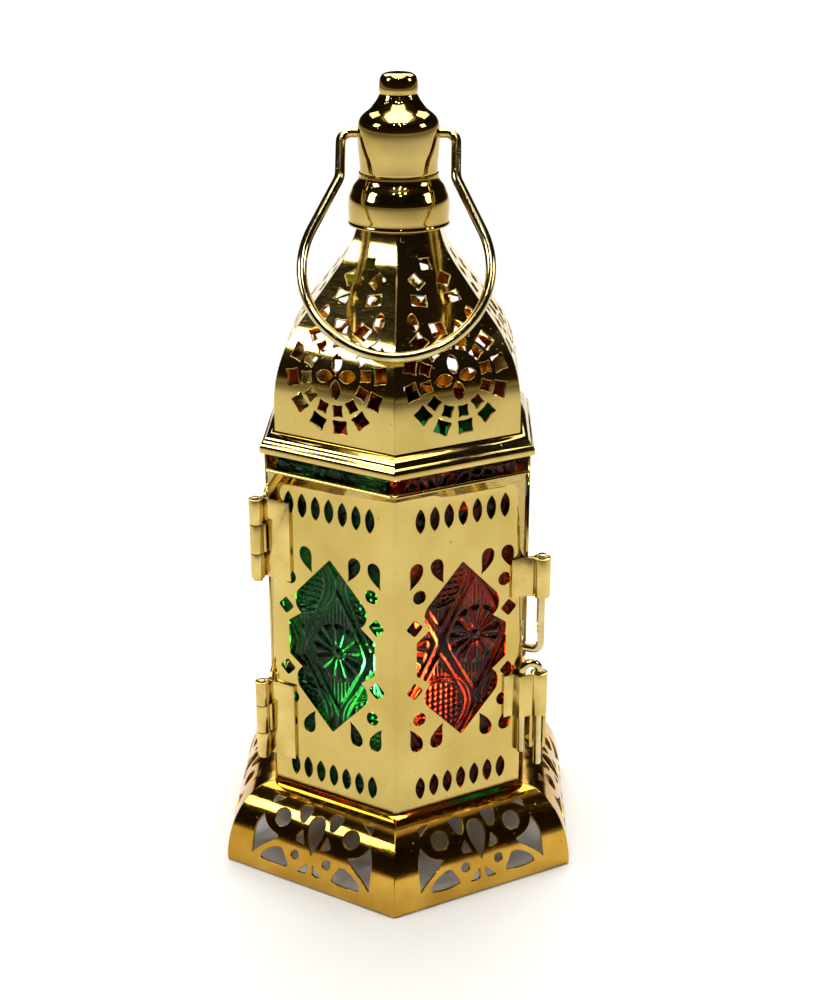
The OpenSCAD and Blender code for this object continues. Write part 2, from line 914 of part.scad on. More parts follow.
module wick() {
    color("dimgray")
        translate([0, 0, tealight_z + 1])
            cylinder(tealight_h + 1, r = 0.8);
}

skirt_panel(0);  // skirt_panel_1
skirt_panel(1);  // skirt_panel_2
skirt_panel(2);  // skirt_panel_3
skirt_panel(3);  // skirt_panel_4
skirt_panel(4);  // skirt_panel_5
skirt_panel(5);  // skirt_panel_6
floor_plate();
candle_cup();
cup_rivet();
left_wall();
right_wall();
door_panel();
pane(0, "darkred");  // pane_1
pane(1, "orange");  // pane_2
pane(2, "darkgreen");  // pane_3
pane(3, "darkred");  // pane_4
pane(4, "orange");  // pane_5
pane(5, "darkgreen");  // pane_6
for (k = [3, 4]) pane_clips(k);  // left_pane_clips
for (k = [1, 2]) pane_clips(k);  // right_pane_clips
for (k = [5, 6]) pane_clips(k);  // door_pane_clips
door_leaf(body_z + upper_hinge_z);  // upper_hinge_door_leaf
wall_leaf(body_z + upper_hinge_z);  // upper_hinge_wall_leaf
hinge_pin(body_z + upper_hinge_z);  // upper_hinge_pin
door_leaf(body_z + lower_hinge_z);  // lower_hinge_door_leaf
wall_leaf(body_z + lower_hinge_z);  // lower_hinge_wall_leaf
hinge_pin(body_z + lower_hinge_z);  // lower_hinge_pin
upper_latch_clip();
upper_latch_hook();
lower_latch_clip();
lower_latch_pin();
latch_keeper();
roof_band();
roof_petal(0);  // roof_petal_1
roof_petal(1);  // roof_petal_2
roof_petal(2);  // roof_petal_3
roof_petal(3);  // roof_petal_4
roof_petal(4);  // roof_petal_5
roof_petal(5);  // roof_petal_6
collar();
finial();
finial_rod();
finial_nut();
bail_handle();
tealight_cup();
tealight_wax();
wick_sustainer();
wick();
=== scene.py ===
# Pierced brass tealight lantern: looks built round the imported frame. Metres, +Z up, door fold towards -Y.
import json
import math
import bmesh
import bpy
from mathutils import Matrix, Vector


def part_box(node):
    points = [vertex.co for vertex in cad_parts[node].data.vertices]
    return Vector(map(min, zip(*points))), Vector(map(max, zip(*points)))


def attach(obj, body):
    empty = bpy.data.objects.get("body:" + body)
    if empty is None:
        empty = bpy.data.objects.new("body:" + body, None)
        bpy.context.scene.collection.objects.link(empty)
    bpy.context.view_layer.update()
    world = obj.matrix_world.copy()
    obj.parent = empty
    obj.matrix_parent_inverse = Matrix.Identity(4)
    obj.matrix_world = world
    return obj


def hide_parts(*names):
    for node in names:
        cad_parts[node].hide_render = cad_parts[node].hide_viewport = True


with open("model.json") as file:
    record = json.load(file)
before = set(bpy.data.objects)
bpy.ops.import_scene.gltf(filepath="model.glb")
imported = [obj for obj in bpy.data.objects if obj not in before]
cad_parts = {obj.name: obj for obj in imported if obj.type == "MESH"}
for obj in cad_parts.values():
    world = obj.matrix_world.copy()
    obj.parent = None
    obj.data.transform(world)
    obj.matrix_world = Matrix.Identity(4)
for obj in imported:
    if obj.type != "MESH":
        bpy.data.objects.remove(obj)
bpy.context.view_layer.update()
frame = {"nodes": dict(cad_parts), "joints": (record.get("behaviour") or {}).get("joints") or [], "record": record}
mm = 0.001
bodyOf = {n: b for b, members in frame["record"]["behaviour"]["bodies"].items() for n in members}
print("frame loaded:", len(bodyOf), "nodes")

# Sizes shared by the pieces, in millimetres
lantern = {
    "cornerRadius": 45.0,
    "sheet": 0.8,
    "rim": 0.14,            # rounding of every sheared edge
    "faces": 6,
}
cos30 = math.cos(math.radians(30))
tan30 = math.tan(math.radians(30))
apothem = lantern["cornerRadius"] * cos30
halfSide = lantern["cornerRadius"] / 2


def nodeBox(node):
    low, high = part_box(node)
    return low / mm, high / mm


# Materials
def linear(hexColour):
    out = []
    for i in (1, 3, 5):
        c = int(hexColour[i:i + 2], 16) / 255
        out.append(c / 12.92 if c <= 0.04045 else ((c + 0.055) / 1.055) ** 2.4)
    return (*out, 1.0)


def addNode(tree, kind, settings=None, links=None):
    node = tree.nodes.new(kind)
    for key, value in (settings or {}).items():
        if key in node.inputs:
            node.inputs[key].default_value = value
        else:
            setattr(node, key, value)
    for key, socket in (links or {}).items():
        tree.links.new(socket, node.inputs[key])
    return node


def perMm(size):
    # Texture scale that makes a mark this many millimetres across
    return 1 / (size * mm)


def noise(tree, place, size, detail):
    # Soft blotches this many millimetres across
    look = {"Scale": perMm(size), "Detail": detail}
    return addNode(tree, "ShaderNodeTexNoise", look, {"Vector": place}).outputs["Fac"]


def spread(tree, value, ends):
    # Brings a value from one range into another
    return addNode(tree, "ShaderNodeMapRange", ends, {"Value": value}).outputs["Result"]


def toned(tree, value, stops):
    # Turns a value into a colour, by stops from 0 to 1
    ramp = addNode(tree, "ShaderNodeValToRGB", {}, {"Fac": value})
    elements = ramp.color_ramp.elements
    while len(elements) < len(stops):
        elements.new(0.5)
    for element, (place, colour) in zip(elements, stops):
        element.position = place
        element.color = linear(colour)
    return ramp.outputs["Color"]


def bumped(tree, height, strength, depth, normal=None):
    # Shading relief, its depth in millimetres
    links = {"Height": height}
    if normal:
        links["Normal"] = normal
    look = {"Strength": strength, "Distance": depth * mm}
    return addNode(tree, "ShaderNodeBump", look, links).outputs["Normal"]


def newMaterial(name):
    material = bpy.data.materials.new(name)
    material.use_nodes = True
    tree = material.node_tree
    tree.nodes.clear()
    place = addNode(tree, "ShaderNodeTexCoord")
    return material, tree, place.outputs["Object"]


def addSurface(tree, settings, links=None):
    shader = addNode(tree, "ShaderNodeBsdfPrincipled", settings, links)
    addNode(tree, "ShaderNodeOutputMaterial", {}, {"Surface": shader.outputs["BSDF"]})


def platedBrass(name, plate):
    # Lacquered brass plate on thin steel, rolled and buffed: mirror gloss, a slight orange peel,
    # fine wiping scratches, and dull bare spots where the lacquer has pitted.
    material, tree, place = newMaterial(name)
    stain = noise(tree, place, plate["stainMm"], 3.0)
    tint = toned(tree, stain, [(0.3, plate["deep"]), (0.7, plate["pale"])])
    pits = noise(tree, place, plate["pitMm"], 2.0)
    pitMask = spread(tree, pits, {"From Min": 0.72, "From Max": 0.78})
    pitTint = addNode(tree, "ShaderNodeMix", {"data_type": "RGBA"}, {"Factor": pitMask, "A": tint})
    pitTint.inputs["B"].default_value = linear(plate["pit"])
    # Wiping lines run level: 3 mm long, drawn 0.35 mm apart where real ones are a tenth of that
    lineSize = {"Scale": (perMm(3), perMm(3), perMm(0.35))}
    stretch = addNode(tree, "ShaderNodeMapping", lineSize, {"Vector": place})
    scratchLook = {"Scale": 1.0, "Detail": 4.0, "Roughness": 0.7}
    scratch = addNode(tree, "ShaderNodeTexNoise", scratchLook, {"Vector": stretch.outputs["Vector"]})
    smooth, worn = plate["rough"]
    glossRange = {"From Min": 0.35, "From Max": 0.8, "To Min": smooth, "To Max": worn}
    peel = noise(tree, place, plate["waveMm"], 1.0)
    wave = bumped(tree, peel, 1.0, plate["waveDepthMm"])
    addSurface(tree, {"Metallic": 1.0}, {
        "Base Color": pitTint.outputs["Result"],
        "Roughness": spread(tree, scratch.outputs["Fac"], glossRange),
        "Normal": bumped(tree, pitMask, 0.5, -0.05, wave),
    })
    return material


def dullMetal(name, metal):
    # Tin-plated or zinc-plated steel, or thin aluminium: grey, satin, a little blotchy from the heat.
    material, tree, place = newMaterial(name)
    blotch = noise(tree, place, metal["grainMm"], 4.0)
    smooth, worn = metal["rough"]
    addSurface(tree, {"Metallic": 1.0}, {
        "Base Color": toned(tree, blotch, [(0.35, metal["deep"]), (0.68, metal["pale"])]),
        "Roughness": spread(tree, blotch, {"To Min": smooth, "To Max": worn}),
        "Normal": bumped(tree, blotch, 0.4, 0.03),
    })
    return material


def pressedGlass(name, glass):
    # Soda-lime glass coloured in the melt and rolled between patterned rollers: deep colour,
    # glossy, with faint ream and seeds. The grey tint keeps room reflections from hiding the colour.
    material, tree, place = newMaterial(name)
    ream = noise(tree, place, 4.0, 2.0)
    body = {"Transmission Weight": 1.0, "IOR": 1.45, "Roughness": 0.04, "Specular Tint": linear("#8C8C8C")}
    addSurface(tree, body, {
        "Base Color": toned(tree, ream, [(0.35, glass["deep"]), (0.7, glass["pale"])]),
        "Normal": bumped(tree, ream, 0.3, 0.04),
    })
    return material


def candleWax(name):
    # Paraffin wax, poured: milky, soft gloss, light passing a little way in.
    material, tree, place = newMaterial(name)
    cloud = noise(tree, place, 5.0, 3.0)
    body = {"Roughness": 0.35, "Subsurface Weight": 0.3, "Subsurface Scale": 4 * mm}
    addSurface(tree, body, {
        "Base Color": toned(tree, cloud, [(0.3, "#E9DFC4"), (0.7, "#F6F0DE")]),
        "Normal": bumped(tree, cloud, 0.3, 0.1),
    })
    return material


def charredCotton(name):
    # Braided cotton, burnt black at the tip and waxy grey below.
    material, tree, place = newMaterial(name)
    braidLook = {"Scale": perMm(2), "Distortion": 2.0, "bands_direction": "DIAGONAL"}
    braid = addNode(tree, "ShaderNodeTexWave", braidLook, {"Vector": place}).outputs["Fac"]
    addSurface(tree, {"Roughness": 0.95}, {
        "Base Color": toned(tree, braid, [(0.2, "#15110D"), (0.9, "#4A3F32")]),
        "Normal": bumped(tree, braid, 0.8, 0.2),
    })
    return material


def burningGas(name, flame):
    # Glowing soot in a candle flame: pale yellow at the middle, orange towards the foot and the tip.
    material, tree, place = newMaterial(name)
    height = addNode(tree, "ShaderNodeSeparateXYZ", {}, {"Vector": place}).outputs["Z"]
    rise = spread(tree, height, {"From Min": flame["low"] * mm, "From Max": flame["high"] * mm})
    glow = {"Base Color": linear("#000000"), "Roughness": 1.0, "Emission Strength": flame["strength"]}
    tint = toned(tree, rise, [(0.0, "#FF7A1E"), (0.35, "#FFE3A0"), (1.0, "#FFA040")])
    addSurface(tree, glow, {"Emission Color": tint})
    return material


flame = {"low": 41.0, "high": 66.0, "width": 9.0, "strength": 340.0}
plateSheet = {
    "deep": "#B79F54", "pale": "#CDB66C", "pit": "#7A6132",
    "stainMm": 25.0, "pitMm": 1.3, "rough": (0.05, 0.15), "waveMm": 14.0, "waveDepthMm": 0.10,
}
plateSkirt = {
    "deep": "#A97C26", "pale": "#CDA446", "pit": "#7A5A28",
    "stainMm": 16.0, "pitMm": 1.2, "rough": (0.05, 0.17), "waveMm": 9.0, "waveDepthMm": 0.08,
}
plateSpun = {
    "deep": "#B89C52", "pale": "#D0B970", "pit": "#7E6434",
    "stainMm": 18.0, "pitMm": 1.6, "rough": (0.04, 0.12), "waveMm": 16.0, "waveDepthMm": 0.03,
}
plateWire = {
    "deep": "#B39F60", "pale": "#DACB98", "pit": "#6E5A32",
    "stainMm": 7.0, "pitMm": 0.9, "rough": (0.05, 0.16), "waveMm": 5.0, "waveDepthMm": 0.03,
}
plateDull = {
    "deep": "#BFA458", "pale": "#DCC47A", "pit": "#6E5226",
    "stainMm": 9.0, "pitMm": 1.0, "rough": (0.10, 0.26), "waveMm": 6.0, "waveDepthMm": 0.04,
}
tinned = {"deep": "#8F8F8C", "pale": "#C9C9C6", "grainMm": 4.0, "rough": (0.25, 0.45)}
zinced = {"deep": "#77777A", "pale": "#A9A9AA", "grainMm": 2.0, "rough": (0.3, 0.5)}
rolled = {"deep": "#C9CACB", "pale": "#E6E7E8", "grainMm": 3.0, "rough": (0.15, 0.3)}
materials = {
    "brassSheet": platedBrass("platedBrassSheet", plateSheet),
    "brassSkirt": platedBrass("platedBrassSkirt", plateSkirt),
    "brassSpun": platedBrass("platedBrassSpun", plateSpun),
    "brassDull": platedBrass("platedBrassFittings", plateDull),
    "brassWire": platedBrass("platedBrassWire", plateWire),
    "tinplate": dullMetal("tinplate", tinned),
    "steel": dullMetal("zincPlatedSteel", zinced),
    "foil": dullMetal("rolledAluminiumCup", rolled),
    "redGlass": pressedGlass("rubyPressedGlass", {"deep": "#6E1A10", "pale": "#A43A1C"}),
    "greenGlass": pressedGlass("emeraldPressedGlass", {"deep": "#065A2E", "pale": "#128A44"}),
    "amberGlass": pressedGlass("amberPressedGlass", {"deep": "#D07A10", "pale": "#F0A832"}),
    "wax": candleWax("paraffinWax"),
    "wick": charredCotton("charredCottonWick"),
    "flame": burningGas("candleFlame", flame),
}
print("materials ready:", len(materials))


# Shared mesh work
def finishPiece(bm, name, material, nodes, smoothAngle=35.0, body=None):
    bmesh.ops.recalc_face_normals(bm, faces=bm.faces)
    for face in bm.faces:
        face.smooth = True
    for edge in bm.edges:
        if len(edge.link_faces) == 2:
            edge.smooth = edge.calc_face_angle(0.0) < math.radians(smoothAngle)
    skin = bm.verts.layers.float_vector.get("skin")
    normals = [vert[skin].copy() for vert in bm.verts] if skin else None
    if skin:
        bm.verts.layers.float_vector.remove(skin)
    mesh = bpy.data.meshes.new(name)
    bm.to_mesh(mesh)
    bm.free()
    if normals:
        mesh.normals_split_custom_set_from_vertices(normals)
    mesh.materials.append(materials[material])
    piece = bpy.data.objects.new(name, mesh)
    bpy.context.scene.collection.objects.link(piece)
    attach(piece, body or bodyOf[nodes[0]])
    if nodes:
        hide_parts(*nodes)
    return piece


def flatSheet(outline, holes, thickness, rim):
    # A pierced sheet lying flat: X along it, Y up it, Z through it, every edge rounded by rim.
    curve = bpy.data.curves.new("flatSheet", "CURVE")
    curve.dimensions = "2D"
    curve.fill_mode = "BOTH"
    curve.extrude = (thickness / 2 - rim) * mm
    curve.bevel_depth = rim * mm
    curve.bevel_resolution = 2
    curve.offset = -rim * mm
    for loop in [outline] + holes:
        spline = curve.splines.new("POLY")
        spline.points.add(len(loop) - 1)
        for point, (x, y) in zip(spline.points, loop):
            point.co = (x * mm, y * mm, 0, 1)
        spline.use_cyclic_u = True
    shape = bpy.data.objects.new("flatSheet", curve)
    bpy.context.scene.collection.objects.link(shape)
    bpy.context.view_layer.update()
    mesh = bpy.data.meshes.new_from_object(shape)
    bm = bmesh.new()
    bm.from_mesh(mesh)
    bpy.data.objects.remove(shape)
    bpy.data.curves.remove(curve)
    bpy.data.meshes.remove(mesh)
    bmesh.ops.remove_doubles(bm, verts=bm.verts, dist=1e-6)
    return bm


def cutLines(bm, axis, places):
    normal = Vector((axis == 0, axis == 1, 0))
    for place in places:
        cut = bm.verts[:] + bm.edges[:] + bm.faces[:]
        bmesh.ops.bisect_plane(bm, geom=cut, dist=1e-7, plane_co=normal * place * mm, plane_no=normal)


def turnAll(bm, degrees):
    turn = Matrix.Rotation(math.radians(degrees), 3, "Z")
    bmesh.ops.rotate(bm, cent=(0, 0, 0), matrix=turn, verts=bm.verts)
    skin = bm.verts.layers.float_vector.get("skin")
    if skin:
        for vert in bm.verts:
            vert[skin] = turn @ vert[skin]


def skinSide(depth):
    # 1 on the outer skin, -1 on the inner one, 0 on the rounded rim between them
    return math.copysign(1, depth) if abs(abs(depth) - lantern["sheet"] / 2) < 0.002 else 0


def arcPoints(x, y, r, start, end, steps):
    angles = [math.radians(start + (end - start) * i / steps) for i in range(steps + 1)]
    return [(x + r * math.cos(a), y + r * math.sin(a)) for a in angles]


def circleLoop(x, y, r, steps=28):
    return arcPoints(x, y, r, 0, 360 * (steps - 1) / steps, steps - 1)


def marquiseLoop(w, h):
    # Two arcs that meet in points
    r = (w * w + h * h) / (4 * w)
    half = math.degrees(math.asin(h / 2 / r))
    right = arcPoints(w / 2 - r, 0, r, -half, half, 10)[:-1]
    return right + [(-x, -y) for x, y in right]


def dropLoop(w, h, lean):
    # Round head below a tip that leans sideways
    loop = []
    for i in range(24):
        t = math.radians(15 * i)
        tail = ((1 + math.cos(t)) / 2) ** 3
        x = w / 2 * math.sin(t) * math.sin(t / 2) ** 1.2 + lean * (tail - 0.15)
        loop.append((x, h / 2 * math.cos(t)))
    return loop


def softCorners(loop, cut, tipCut=0.25):
    # Rounds a closed outline: wide corners over the length cut, sharp tips only a little
    out = []
    for i, (px, py) in enumerate(loop):
        corner = Vector((px, py))
        back = Vector(loop[i - 1]) - corner
        ahead = Vector(loop[(i + 1) % len(loop)]) - corner
        reach = tipCut if back.angle(ahead) < math.radians(60) else cut
        reach = min(reach, 0.48 * back.length, 0.48 * ahead.length)
        start, end = corner + back.normalized() * reach, corner + ahead.normalized() * reach
        for t in (0, 0.25, 0.5, 0.75, 1):
            out.append(tuple(start.lerp(corner, t).lerp(corner.lerp(end, t), t)))
    return out


def tileLoop(w, h, sag=0.12, cut=0.45):
    # Square with slightly hollow sides and soft corners
    outline = [
        (-w / 2, -h / 2), (0, -h / 2 + sag), (w / 2, -h / 2), (w / 2 - sag, 0),
        (w / 2, h / 2), (0, h / 2 - sag), (-w / 2, h / 2), (-w / 2 + sag, 0),
    ]
    return softCorners(outline, cut)


def placed(loop, x, y, turn=0.0, flipX=1, flipY=1):
    c, s = math.cos(math.radians(turn)), math.sin(math.radians(turn))
    return [(x + flipX * (px * c - py * s), y + flipY * (px * s + py * c)) for px, py in loop]


class bendRail:
    # A side view line with its arc length, so that a flat sheet can be bent along it
    def __init__(self, points):
        self.points = [Vector(p) for p in points]
        self.lengths = [0.0]
        for a, b in zip(self.points, self.points[1:]):
            self.lengths.append(self.lengths[-1] + (b - a).length)
        ways = [(b - a).normalized() for a, b in zip(self.points, self.points[1:])]
        self.ways = [ways[0]] + [(a + b).normalized() for a, b in zip(ways, ways[1:])] + [ways[-1]]
        self.total = self.lengths[-1]

    def at(self, s):
        s = min(max(s, 0.0), self.total)
        low, high = 0, len(self.lengths) - 1
        while high - low > 1:
            middle = (low + high) // 2
            low, high = (middle, high) if self.lengths[middle] <= s else (low, middle)
        t = (s - self.lengths[low]) / (self.lengths[high] - self.lengths[low])
        way = self.ways[low].lerp(self.ways[high], t).normalized()
        return self.points[low].lerp(self.points[high], t), way

    def lengthAt(self, z):
        # Arc length at which the line reaches height z, counted where it climbs
        for i, (a, b) in enumerate(zip(self.points, self.points[1:])):
            if a.y <= z <= b.y and b.y > a.y:
                return self.lengths[i] + (self.lengths[i + 1] - self.lengths[i]) * (z - a.y) / (b.y - a.y)
        return self.total


def bendToRail(bm, rail, thickness):
    # X stays along the face, Y follows the rail, Z stands on it; the sheet's outer skin is the rail
    skin = bm.verts.layers.float_vector.new("skin")
    for vert in bm.verts:
        x, s, depth = vert.co / mm
        point, way = rail.at(s)
        outX, outZ = way.y, -way.x
        vert[skin] = Vector((0, -outX, outZ)) * skinSide(depth)
        depth -= thickness / 2
        vert.co = Vector((x, -(point.x + outX * depth), point.y + outZ * depth)) * mm


# Walls and door: one sheet folded over two faces
wall = {
    "faceMiddle": 75.8,
    "foldRadius": 2.0,
    "windowHalf": 28.4,
    # Openings, measured from the middle of a face: across, up, and then the size or the lean
    "lobe": (7.8, 13.1, 4.9),
    "block": (15.3, 5.4),
    "rowPitch": 4.7,
    "rowOffset": 43.5,
    "rowHole": (3.2, 7.6),
    "dot": (14.4, 19.9, 2.1),
    "diamond": (16.0, 10.3, 3.9),
    "drops": ((15.6, 26.7, 2.4), (8.3, 26.9, -2.4)),
    "dropSize": (5.8, 7.8),
    "keeperNotch": (69.15, 72.85, 6.5),
    # Left free where a wall's edge meets the door, at the hinges and at the latches
    "hingeGap": 1.0,
    "latchGap": 0.3,
}


def windowLoop():
    # Pointed top and bottom, round lobes, square middle
    lobeX, lobeY, lobeR = wall["lobe"]
    blockX, blockY = wall["block"]
    quarter = [(0, wall["windowHalf"])] + arcPoints(lobeX, lobeY, lobeR, 44, -57, 10) + [(blockX, blockY)]
    right = quarter + [(x, -y) for x, y in reversed(quarter)]
    left = [(-x, y) for x, y in reversed(right)]
    return softCorners(right + left[1:-1], 0.6)


def facePiercing():
    holes = [windowLoop()]
    dotX, dotY, dotR = wall["dot"]
    diamondX, diamondY, edge = wall["diamond"]
    for side in (-1, 1):
        for i in range(-3, 4):
            hole = marquiseLoop(*wall["rowHole"])
            holes.append(placed(hole, i * wall["rowPitch"], side * wall["rowOffset"]))
        for hand in (-1, 1):
            holes.append(circleLoop(hand * dotX, side * dotY, dotR))
            holes.append(placed(tileLoop(edge, edge, 0, 0.6), hand * diamondX, side * diamondY, 45))
            for x, y, lean in wall["drops"]:
                drop = dropLoop(*wall["dropSize"], lean)
                holes.append(placed(drop, hand * x, side * y, 0, hand, -side))
    return holes


def foldedSheet(leftEdge, rightEdge, low, high, notch=None):
    # leftEdge and rightEdge are distances from the fold line's sharp corner
    r = wall["foldRadius"]
    loss = r * (tan30 - math.pi / 6)
    holes = []
    for hand in (-1, 1):
        for loop in facePiercing():
            middle = hand * (halfSide - loss)
            holes.append([(middle + x, wall["faceMiddle"] + y) for x, y in loop])
    x0, x1 = -leftEdge + loss, rightEdge - loss
    outline = [(x0, low), (x1, low), (x1, high), (x0, high)]
    if notch:
        z0, z1, deep = notch
        outline += [(x0, z1), (x0 + deep, z1), (x0 + deep, z0), (x0, z0)]
    bm = flatSheet(outline, holes, lantern["sheet"], lantern["rim"])
    bend = r * math.pi / 6
    cutLines(bm, 0, [bend * (i / 5 - 1) for i in range(11)])
    return bm


def bendFold(bm, lift=None):
    r = wall["foldRadius"]
    centreY = -(lantern["cornerRadius"] - r / cos30)
    skin = bm.verts.layers.float_vector.new("skin")
    for vert in bm.verts:
        x, z, depth = vert.co / mm
        angle = max(-math.pi / 6, min(math.pi / 6, x / r))
        rest = x - angle * r
        outX, outY = math.sin(angle), -math.cos(angle)
        climb = (lift(z + 0.01) - lift(z - 0.01)) / 0.02 if lift else 0
        vert[skin] = Vector((outX, outY, -climb)).normalized() * skinSide(depth)
        depth -= lantern["sheet"] / 2
        if lift:
            depth += lift(z)
        x = (r + depth) * outX - rest * outY
        y = centreY + (r + depth) * outY + rest * outX
        vert.co = Vector((x, y, z)) * mm


door = {"leftEdge": 2 * halfSide - 1.0, "rightEdge": 2 * halfSide - 1.5, "lip": 0.7, "lipTurns": 8}


def makeDoor():
    # The top edge is rolled outwards into a low bead
    low, high = nodeBox("door_panel")
    bm = foldedSheet(door["leftEdge"], door["rightEdge"], low.z, high.z)
    lip = door["lip"]
    start = high.z - 2 * lip
    cutLines(bm, 1, [start + 2 * lip * i / door["lipTurns"] for i in range(door["lipTurns"])])

    def rolledLip(z):
        return lip * math.sin(math.pi * (z - start) / (2 * lip)) ** 0.7 if start < z < high.z else 0.0
    bendFold(bm, rolledLip)
    return finishPiece(bm, "doorSheet", "brassSheet", ["door_panel"], 40)


def makeWall(name, node, turn, leftEdge, rightEdge, notch=None):
    low, high = nodeBox(node)
    bm = foldedSheet(leftEdge, rightEdge, low.z, high.z, notch)
    bendFold(bm)
    turnAll(bm, turn)
    return finishPiece(bm, name, "brassSheet", [node], 40)


seamEdge = 2 * halfSide - lantern["sheet"] * tan30 - 0.05
hingeEdge, latchEdge = 2 * halfSide - wall["hingeGap"], 2 * halfSide - wall["latchGap"]
makeDoor()
makeWall("leftWallSheet", "left_wall", 240, seamEdge, hingeEdge)
makeWall("rightWallSheet", "right_wall", 120, latchEdge, seamEdge, wall["keeperNotch"])
print("door and walls folded")

# Base: six pierced panels bent down into a flared skirt
skirt = {
    "flare": 16 * cos30, "height": 24.0, "inside": 0.9, "foot": 4.0, "footBend": 0.8, "seam": 0.08,
    "tuck": 5.0, "soften": 6.0, "dropSize": (8.0, 12.4), "steps": 48,
}


def skirtRail():
    reach = apothem + skirt["inside"]
    line = [(reach + skirt["flare"] - skirt["foot"], 0.0)]
    foot = (reach + skirt["flare"] - skirt["footBend"], skirt["footBend"])
    line += arcPoints(foot[0], foot[1], skirt["footBend"], -90, 0, 6)
    for i in range(3, 61):
        t = math.radians(90 - 90 * i / 60)
        line.append((reach + skirt["flare"] * math.sin(t), skirt["height"] * math.cos(t)))
    line.append((reach - skirt["tuck"], skirt["height"]))
    return bendRail(line)


def skirtOpenings(rail):
    # Half a panel's openings, as (distance from its middle, height)
    outlines = [
        [(2.6, 22.7), (8.6, 22.7), (6.6, 19.4), (5.6, 18.7), (4.5, 19)],
        [(14.3, 22.7), (18.4, 22.7), (18.5, 20.9)],
        [(4.6, 17.2), (3, 13.4), (7, 14.1)],
        [
            (19.6, 18.2), (17.2, 14.9), (12.6, 13.4), (13.6, 12.3), (17.5, 9.6), (19.3, 8.2), (21.6, 5.8),
            (21.6, 14.2),
        ],
        [
            (8.1, 4.9), (13, 4.3), (18.4, 4.9), (18, 6.6), (15.5, 9), (12.2, 10.3), (10.4, 10.1), (9.4, 8),
            (8.2, 6.5),
        ],
        [(0.9, 8.2), (0.9, 4.4), (4.5, 4.6)],
    ]
    holes = []
    for hand in (-1, 1):
        for outline in outlines:
            holes.append(softCorners([(hand * x, rail.lengthAt(z)) for x, z in outline], skirt["soften"]))
        holes.append(circleLoop(hand * 12.6, rail.lengthAt(skirt["height"] * 0.78), 2.9))
        holes.append(circleLoop(hand * 5.8, rail.lengthAt(skirt["height"] * 0.4), 1.5, 20))
    drop = dropLoop(*skirt["dropSize"], 0)
    holes.append(placed(drop, 0, rail.lengthAt(skirt["height"] * 0.69), 0, 1, -1))
    return holes


def mitredSheet(rail, holes, seam, steps):
    # A bent panel whose sides follow the mitre with the next one
    stations = [rail.total * i / steps for i in range(steps + 1)]
    edge = [(rail.at(s)[0].x * tan30 - seam, s) for s in stations]
    outline = edge + [(-x, s) for x, s in reversed(edge)]
    bm = flatSheet(outline, holes, lantern["sheet"], lantern["rim"])
    cutLines(bm, 1, stations[1:-1])
    bendToRail(bm, rail, lantern["sheet"])
    return bm


def makeSkirt():
    rail = skirtRail()
    for k in range(lantern["faces"]):
        bm = mitredSheet(rail, skirtOpenings(rail), skirt["seam"], skirt["steps"])
        turnAll(bm, 30 + 60 * k)
        finishPiece(bm, f"skirtPanel{k + 1}", "brassSkirt", [f"skirt_panel_{k + 1}"], 40)


makeSkirt()
print("skirt bent")

# Roof: six pierced petals
petal = {
    "foot": apothem - 3.2, "rise": 11.0, "shoulder": 38.6, "turn": 36.5, "hollow": 33.0, "neckTurn": 10.0,
    "rosette": 22.2, "rosetteTurn": 6.0, "seam": 0.08, "skew": 6.0, "tileSag": 0.26, "steps": 56,
    "rings": ((9.9, 3.4, 3.6), (14.7, 4.9, 4.2)),
    "leaf": (3.9, 3.5, 5.6),
    "topTile": (56.6, 3.4, 3.6),
}


def petalRail(base, top):
    # Upright foot, round shoulder, straight slope, then a hollow curve up to the collar.
    # The slope takes up whatever height the frame leaves.
    turn, neck = math.radians(petal["turn"]), math.radians(petal["neckTurn"])
    curved = petal["shoulder"] * math.sin(turn) + petal["hollow"] * (math.sin(turn) - math.sin(neck))
    slope = (top - base - petal["rise"] - curved) / math.cos(turn)
    a, z = petal["foot"], base
    line = [(a, z), (a, z + petal["rise"])]
    z += petal["rise"]
    for i in range(1, 25):
        t = turn * i / 24
        line.append((a - petal["shoulder"] * (1 - math.cos(t)), z + petal["shoulder"] * math.sin(t)))
    a, z = line[-1]
    a, z = a - slope * math.sin(turn), z + slope * math.cos(turn)
    line.append((a, z))
    for i in range(1, 15):
        t = turn + (neck - turn) * i / 14
        inward = petal["hollow"] * (math.cos(t) - math.cos(turn))
        line.append((a - inward, z + petal["hollow"] * (math.sin(turn) - math.sin(t))))
    return bendRail(line)


def petalOpenings():
    holes = []
    s0, turn0 = petal["rosette"], petal["rosetteTurn"]
    for r, w, h in petal["rings"]:
        for i in range(12):
            a = 15 + 30 * i - turn0
            x, y = r * math.cos(math.radians(a)), s0 + r * math.sin(math.radians(a))
            # Each tile is punched by hand, so none stands quite square
            skew = petal["skew"] * math.sin(5.1 * i + r)
            holes.append(placed(tileLoop(w, h, petal["tileSag"]), x, y, a - 90 + skew))
    out, w, h = petal["leaf"]
    for i in range(4):
        a = 90 * i + turn0
        x, y = out * math.cos(math.radians(a)), s0 + out * math.sin(math.radians(a))
        holes.append(placed(marquiseLoop(w, h), x, y, a - 90))
    height, w, h = petal["topTile"]
    holes.append(placed(tileLoop(w, h), 0, height))
    for hand in (-1, 1):
        holes.append(placed(tileLoop(3.6, 4.2), hand * 4.4, 51.6, hand * -35))
        holes.append(placed(tileLoop(4.8, 3.4), hand * 5.4, 45.8, hand * 12))
        holes.append(placed(marquiseLoop(3.4, 5.6), hand * 9.4, 39.6, hand * 10))
    return holes


